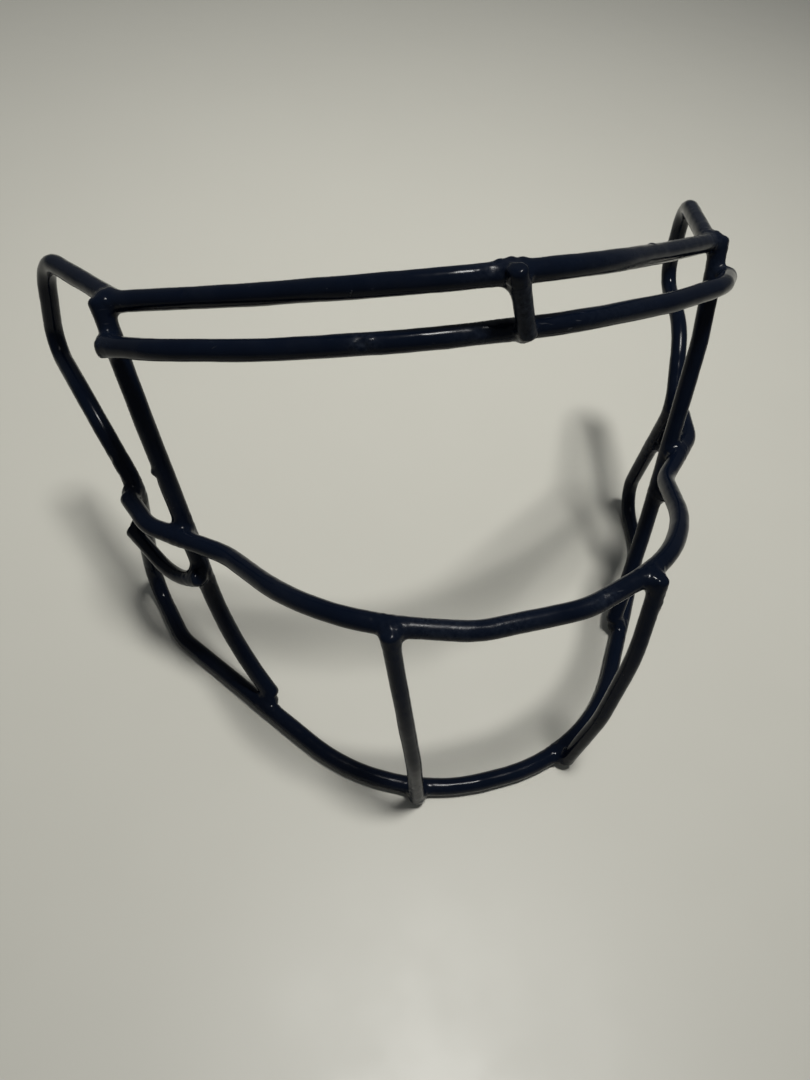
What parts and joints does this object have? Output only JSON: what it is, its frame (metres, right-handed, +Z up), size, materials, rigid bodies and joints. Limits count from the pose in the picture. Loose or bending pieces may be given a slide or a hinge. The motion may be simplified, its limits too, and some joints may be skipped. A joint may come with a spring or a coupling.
{
  "type": "wire face guard",
  "caption": "Bent wire face guard with brow bars, side bars, a mouth bar and chin posts, welded from round steel and dipped in dark plastic.",
  "frame": {"origin": "on the floor plane, under the centre of the guard's bounding box", "axes": "+X towards the +X temple, -Y the way the face looks, +Z up; the plane X = 0 is the plane of symmetry"},
  "size_m": [0.2722, 0.1825, 0.1862],
  "materials": {
    "steel": "drawn steel wire, dull, hidden under the plastic skin",
    "weld": "resistance weld metal, darkened by heat",
    "coating": "dark navy dipped plastic, glossy, lightly scuffed and dusty"
  },
  "bodies": {
    "root": {"brow_post_coat": "coating", "brow_post_steel": "steel", "cheek_stub_left_coat": "coating", "cheek_stub_left_steel": "steel", "cheek_stub_right_coat": "coating", "cheek_stub_right_steel": "steel", "lower_brow_bar_coat": "coating", "lower_brow_bar_steel": "steel", "mouth_bar_coat": "coating", "mouth_bar_steel": "steel", "mouth_post_left_coat": "coating", "mouth_post_left_steel": "steel", "mouth_post_right_coat": "coating", "mouth_post_right_steel": "steel", "perimeter_coat": "coating", "perimeter_steel": "steel", "side_bar_left_coat": "coating", "side_bar_left_steel": "steel", "side_bar_right_coat": "coating", "side_bar_right_steel": "steel", "weld_brow_corner_left": "weld", "weld_brow_corner_right": "weld", "weld_brow_post_foot": "weld", "weld_brow_post_top": "weld", "weld_lower_brow_left": "weld", "weld_lower_brow_right": "weld", "weld_mouth_bar_end_left": "weld", "weld_mouth_bar_end_right": "weld", "weld_mouth_bar_middle_left": "weld", "weld_mouth_bar_middle_right": "weld", "weld_perimeter_butt": "weld", "weld_post_foot_left": "weld", "weld_post_foot_right": "weld", "weld_post_top_left": "weld", "weld_post_top_right": "weld", "weld_side_bar_foot_left": "weld", "weld_side_bar_foot_right": "weld", "weld_stub_back_left": "weld", "weld_stub_back_right": "weld", "weld_stub_front_left": "weld", "weld_stub_front_right": "weld"}
  },
  "joints": []
}
